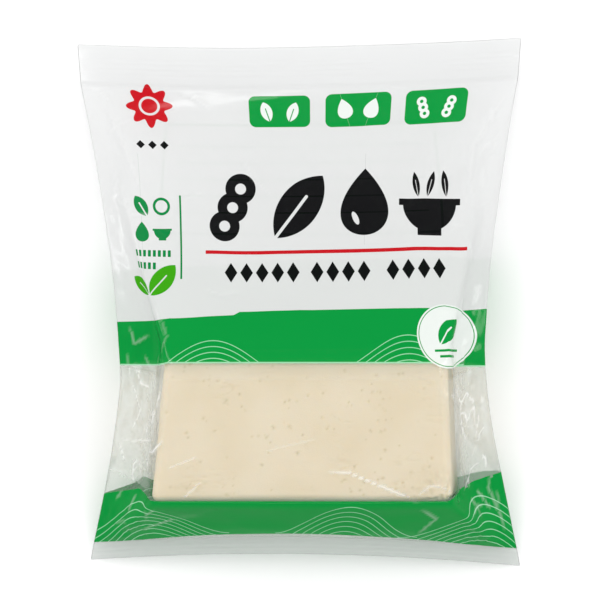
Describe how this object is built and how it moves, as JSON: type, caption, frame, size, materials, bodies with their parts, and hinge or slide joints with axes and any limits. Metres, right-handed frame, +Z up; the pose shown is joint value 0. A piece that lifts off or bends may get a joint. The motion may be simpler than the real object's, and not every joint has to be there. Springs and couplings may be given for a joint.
{
  "type": "packed tofu block",
  "caption": "Block of firm tofu sealed in a clear, simply printed film bag with a wide top seal, lying flat on its back.",
  "frame": {"origin": "centre of the pack's box on the surface that the pack lies on", "axes": "+Y toward the top seal, along the pack; +X to the right seen from the front; +Z up, out of the pack's front"},
  "size_m": [0.2131, 0.2531, 0.057],
  "materials": {
    "film": "glossy clear film with white and green printed fields",
    "tofu": "moist, cream white, with fine pits"
  },
  "bodies": {
    "root": {"tofu_pack": "film"}
  },
  "joints": []
}
